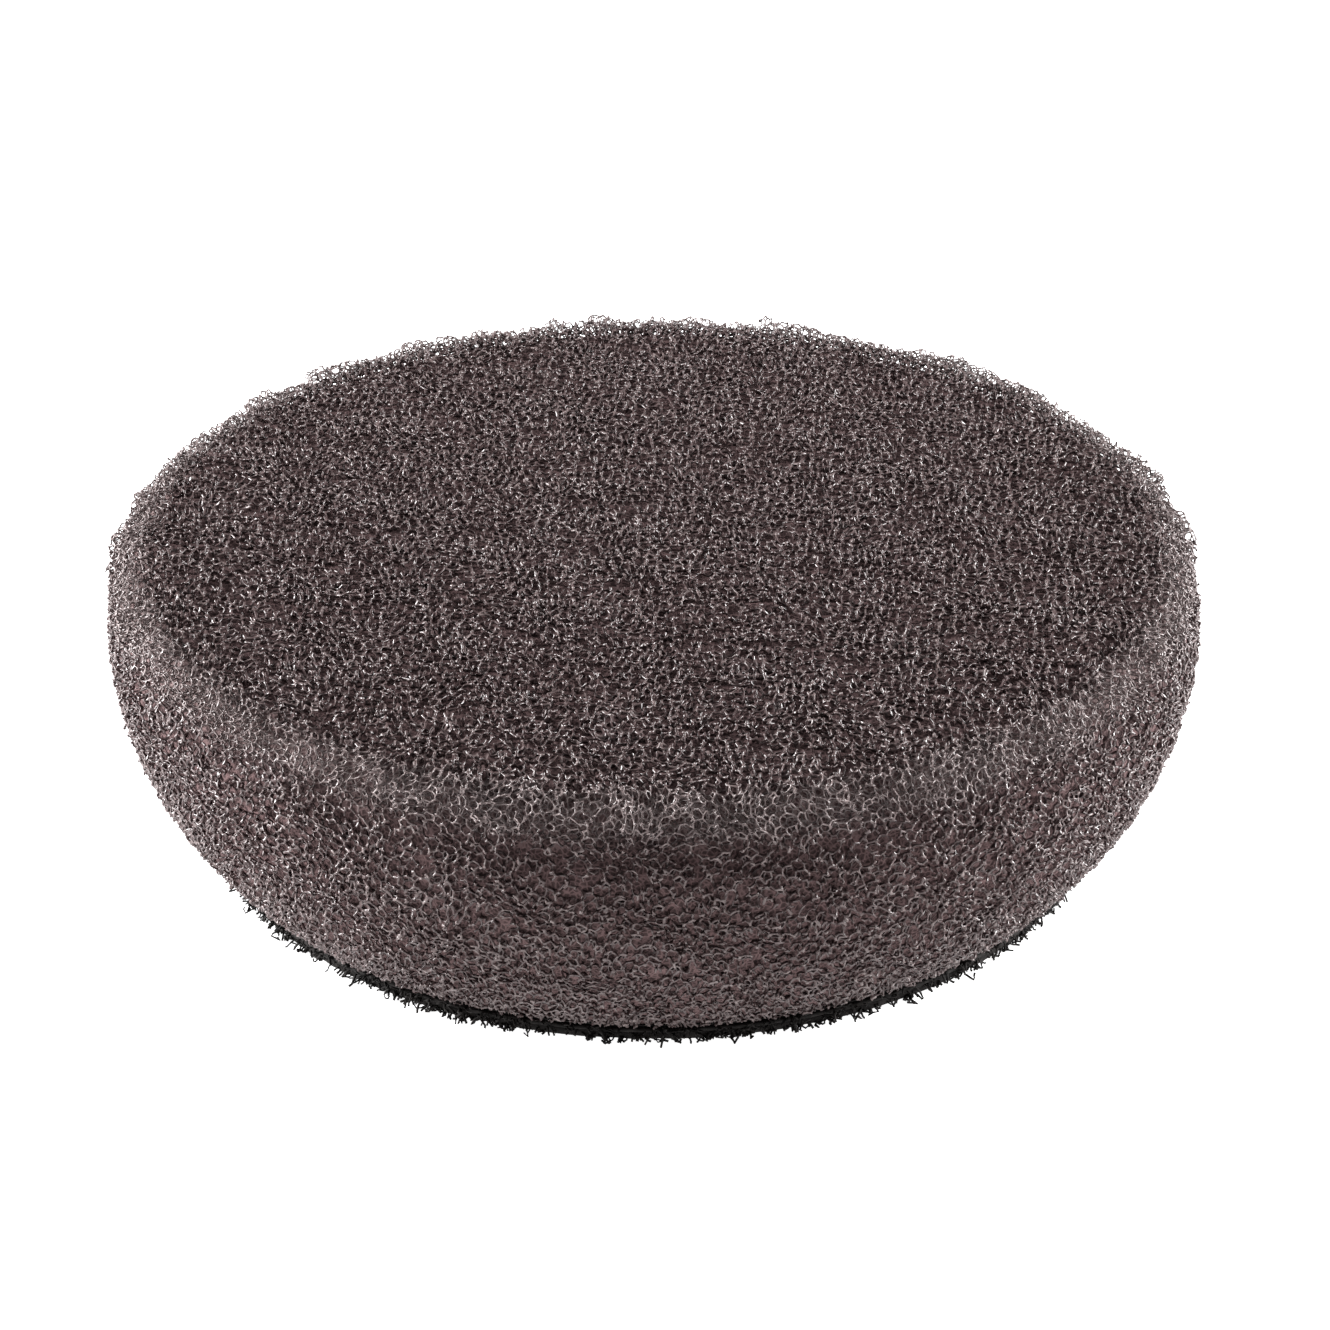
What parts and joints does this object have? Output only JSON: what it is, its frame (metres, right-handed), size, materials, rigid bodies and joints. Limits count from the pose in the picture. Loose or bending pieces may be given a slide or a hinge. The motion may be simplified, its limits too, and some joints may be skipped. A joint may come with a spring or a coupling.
{
  "type": "foam polishing pad",
  "caption": "Tapered round polishing pad of open-cell foam with a flat working face, a rounded edge and a hook-and-loop backing on its smaller face.",
  "frame": {"origin": "centre of the loop side, where the loop tips rest on the hook plate or on a table", "axes": "+Z is the axis that the pad spins about, from the loop side to the working face; the pad is round, so +X and +Y point anywhere in its plane"},
  "size_m": [0.0908, 0.0908, 0.025],
  "materials": {
    "foam": "matt open-cell polyurethane foam with glossy struts",
    "bond_film": "thin hot-melt film",
    "knit": "fine black warp knit",
    "pile": "black brushed loops"
  },
  "bodies": {
    "root": {"foam_body": "foam", "bond_film": "bond_film", "loop_fabric_knit": "knit", "loop_pile": "pile"}
  },
  "joints": []
}
